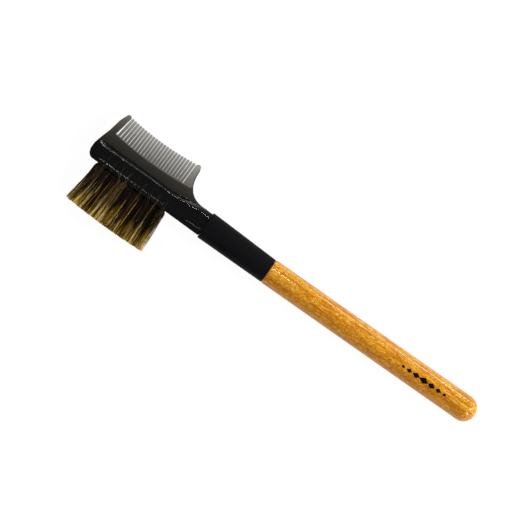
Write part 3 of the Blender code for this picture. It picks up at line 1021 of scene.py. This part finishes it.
def hair_tones(generator, along, nearest, distance):
    """How golden and how pale each point of each hair is, much alike within a clump."""
    count = len(along)
    clump_start = generator.uniform(*GOLD_START, CLUMPS_PER_TUFT)
    scatter = generator.normal(0, GOLD_START_SCATTER, count)
    start = clump_start[nearest] + GOLD_START_BY_DISTANCE * distance + scatter
    early = generator.uniform(0, 1, count) < EARLY_GOLD_SHARE
    start = np.where(early, generator.uniform(*EARLY_GOLD_START, count), start)
    gold = np.clip((along - start[:, None]) / GOLD_CHANGE, 0, 1)
    gold[:, : len(PLACES_INSIDE) - 1] = GOLD_INSIDE
    clump_shade = generator.uniform(*CLUMP_SHADE, CLUMPS_PER_TUFT)
    shade = np.clip(clump_shade[nearest] + generator.normal(0, SHADE_SCATTER, count), 0, 1)
    return {"gold": gold, "shade": np.repeat(shade[:, None], HAIR_PLACES, 1)}


def tuft_hairs(name, u, side, material, generator):
    """One tuft of separate tapered hairs, folded under its staple, gathered in small clumps."""
    roots = random_disc(generator, HAIRS_PER_TUFT, 0, 1)
    tips, nearest, distance = gather(generator, roots)
    paths, along = hair_paths(generator, roots, tips, u, side)
    points = hair_points(generator, paths, along)
    tones = hair_tones(generator, along, nearest, distance)
    piece = mesh_object("tuft_hairs_" + name, points, hair_faces(HAIRS_PER_TUFT), HEAD_PLACE)
    for attribute, values in tones.items():
        layer = piece.data.attributes.new(attribute, "FLOAT", "POINT")
        layer.data.foreach_set("value", np.repeat(values.ravel(), HAIR_SIDES).astype(np.float32))
    smooth(piece, degrees=60)
    finish_piece(piece, material, "bristle", "tuft_" + name)


def tufts(material):
    """All the tufts, with hairs drawn from one seeded source."""
    generator = np.random.default_rng(HAIR_SEED)
    for name, u, side in tuft_places():
        tuft_hairs(name, u, side, material, generator)


# ---------------------------------------------------------------- carried over from the frame


def repaint(node_name, material):
    """Gives a node of the frame a detailed material."""
    mesh = frame["nodes"][node_name].data
    mesh.materials.clear()
    mesh.materials.append(material)


def inner_parts(staple_material, glue_material):
    """The staples and the glue plug keep the frame's own shapes."""
    for name, _, _ in tuft_places():
        repaint("anchor_" + name, staple_material)
    repaint("ferrule_adhesive", glue_material)


# ---------------------------------------------------------------- stage


def floor():
    """A wide white floor that glows, so that shadows on it are faint."""
    corners = [(-FLOOR_HALF_MM, -FLOOR_HALF_MM, 0), (FLOOR_HALF_MM, -FLOOR_HALF_MM, 0)]
    corners += [(FLOOR_HALF_MM, FLOOR_HALF_MM, 0), (-FLOOR_HALF_MM, FLOOR_HALF_MM, 0)]
    piece = mesh_object("floor", corners, [(0, 1, 2, 3)], Matrix())
    shader = Shader("floor_white")
    shader.colour((FLOOR_GREY, FLOOR_GREY, FLOOR_GREY, 1.0))
    shader.roughness(1.0)
    shader.set(Specular_IOR_Level=0.0)
    shader.set(Emission_Color=(1.0, 1.0, 1.0, 1.0), Emission_Strength=FLOOR_GLOW)
    piece.data.materials.append(shader.material)


def area_light(name, centre, size, radiance, target):
    """A rectangular lamp, its long side level, that faces a target."""
    lamp = bpy.data.lights.new(name, "AREA")
    lamp.shape = "RECTANGLE"
    lamp.size, lamp.size_y = size
    lamp.energy = radiance * math.pi * size[0] * size[1]
    made = bpy.data.objects.new(name, lamp)
    bpy.context.scene.collection.objects.link(made)
    made.location = centre
    towards = (Vector(centre) - Vector(target)).normalized()
    across = Vector((0, 0, 1)).cross(towards).normalized()
    made.rotation_euler = Matrix((across, towards.cross(across), towards)).transposed().to_euler()


def mirrored_strip(name, first_x, last_x, angle, height, radiance):
    """A strip lamp that the camera sees mirrored in the stick between two places along it."""
    reach = STRIP_DISTANCE / CAMERA_DISTANCE
    ends = [x + (x - CAMERA_X) * reach for x in (first_x, last_x)]
    turn = math.radians(angle)
    rise = Vector((0, math.sin(turn), math.cos(turn))) * STRIP_DISTANCE
    target = Vector((sum(ends) / 2, AXIS_Y, AXIS_Z))
    area_light(name, target + rise, (ends[1] - ends[0], height), radiance, target)


def lights():
    """Thin lamps for the lines along the edges and the varnish, two for the dome, broad fills."""
    for name, values in STRIP_LAMPS.items():
        mirrored_strip(name, *values)
    for name, (target_x, place, size, radiance) in BROAD_LAMPS.items():
        target = Vector((target_x, AXIS_Y, AXIS_Z))
        area_light(name, target + Vector(place), size, radiance, target)


def world():
    """Soft room light: pale near the horizon and dark overhead."""
    made = bpy.data.worlds.new("room")
    bpy.context.scene.world = made
    made.use_nodes = True
    nodes = made.node_tree.nodes
    links = made.node_tree.links
    place = nodes.new("ShaderNodeTexCoord")
    parts = nodes.new("ShaderNodeSeparateXYZ")
    ramp = nodes.new("ShaderNodeValToRGB")
    for element, (height, grey) in zip(ramp.color_ramp.elements, (ROOM_LOW, ROOM_HIGH)):
        element.position = height
        element.color = (grey, grey, grey, 1)
    links.new(place.outputs["Generated"], parts.inputs["Vector"])
    links.new(parts.outputs["Z"], ramp.inputs["Fac"])
    links.new(ramp.outputs["Color"], nodes["Background"].inputs["Color"])


def camera():
    """A long lens straight above, turned so that the handle runs down to the right."""
    lens = bpy.data.cameras.new("camera")
    lens.sensor_width = SENSOR_WIDTH
    lens.lens = SENSOR_WIDTH * CAMERA_DISTANCE / CAMERA_FRAME
    lens.clip_end = CAMERA_REACH
    made = bpy.data.objects.new("camera", lens)
    bpy.context.scene.collection.objects.link(made)
    made.location = (CAMERA_X, CAMERA_Y, AXIS_Z + CAMERA_DISTANCE)
    made.rotation_euler = (0.0, 0.0, math.radians(CAMERA_TURN))
    bpy.context.scene.camera = made


camera()
lights()
world()
floor()
handle_wood(varnished_wood())
ferrule_sleeve(black_metal())
head_moulding(smoky_plastic())
tufts(bristle())
inner_parts(steel(), glue())
bpy.context.scene.view_settings.view_transform = "Standard"
